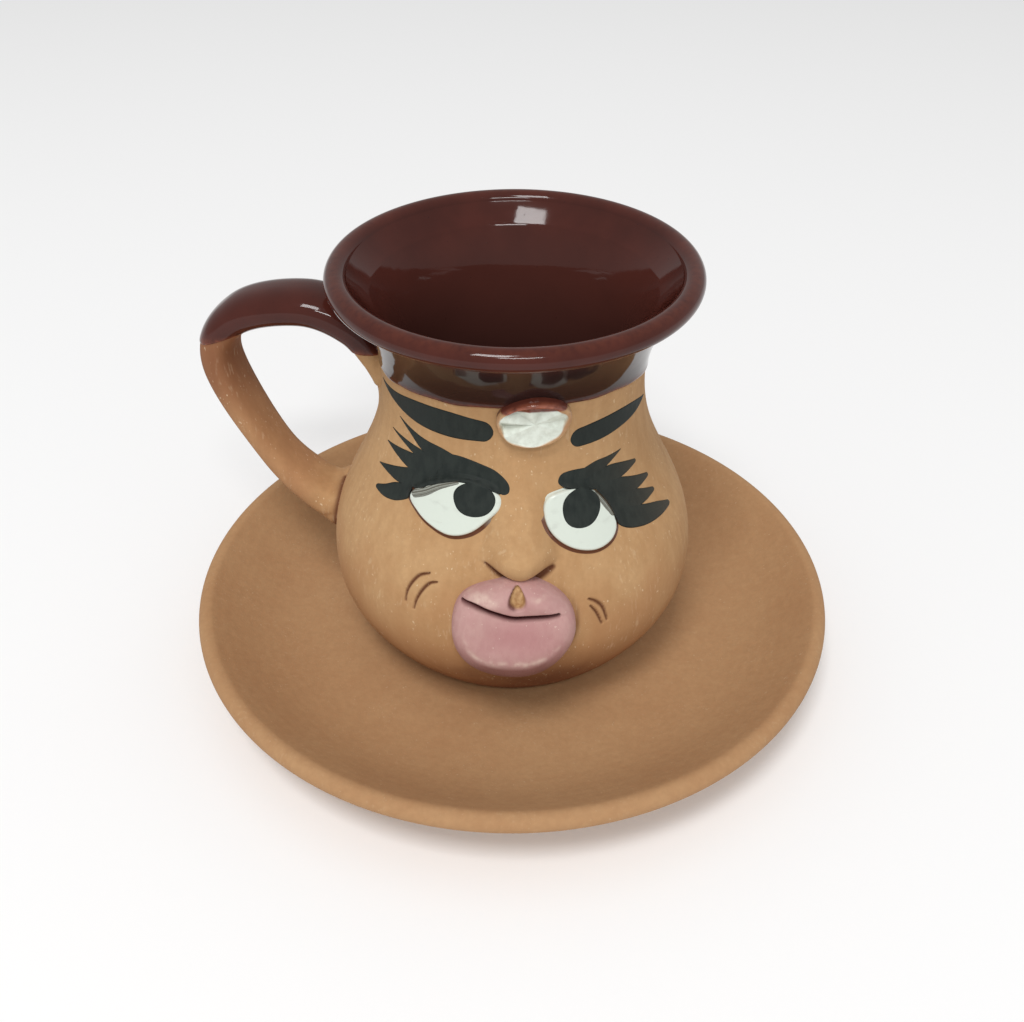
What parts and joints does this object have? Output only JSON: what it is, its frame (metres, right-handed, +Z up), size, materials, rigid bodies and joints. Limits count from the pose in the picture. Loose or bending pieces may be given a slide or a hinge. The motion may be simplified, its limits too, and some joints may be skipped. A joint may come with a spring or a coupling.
{
  "type": "coffee cup",
  "caption": "Hand-built terracotta coffee cup with a round belly, flared glazed neck, strap handle and a comic face in applied relief, standing on a dished saucer.",
  "frame": {"origin": "middle of the saucer's foot, on the surface that it stands on", "axes": "+Z up; the face on the cup looks along -Y, and the handle is at -X"},
  "size_m": [0.15, 0.15, 0.1003],
  "materials": {
    "saucer_clay": "matte fired terracotta, wiped smooth",
    "cup_clay": "matte fired terracotta with fine pale grog",
    "white_slip": "white slip, slightly glossy",
    "pink_slip": "matte pink slip",
    "brown_glaze": "glossy dark red-brown glaze",
    "black_slip": "matte black slip, brushed on"
  },
  "bodies": {
    "saucer": {"saucer": "saucer_clay"},
    "cup": {"cup_body": "cup_clay", "handle": "cup_clay", "left_eye": "white_slip", "right_eye": "white_slip", "nose": "cup_clay", "lips": "pink_slip", "forehead_rosette": "white_slip"}
  },
  "joints": [
    {"name": "cup_lift", "type": "slide", "parent": "saucer", "child": "cup", "axis": [0, 0, 1], "range_m": [0, 0.1]}
  ]
}
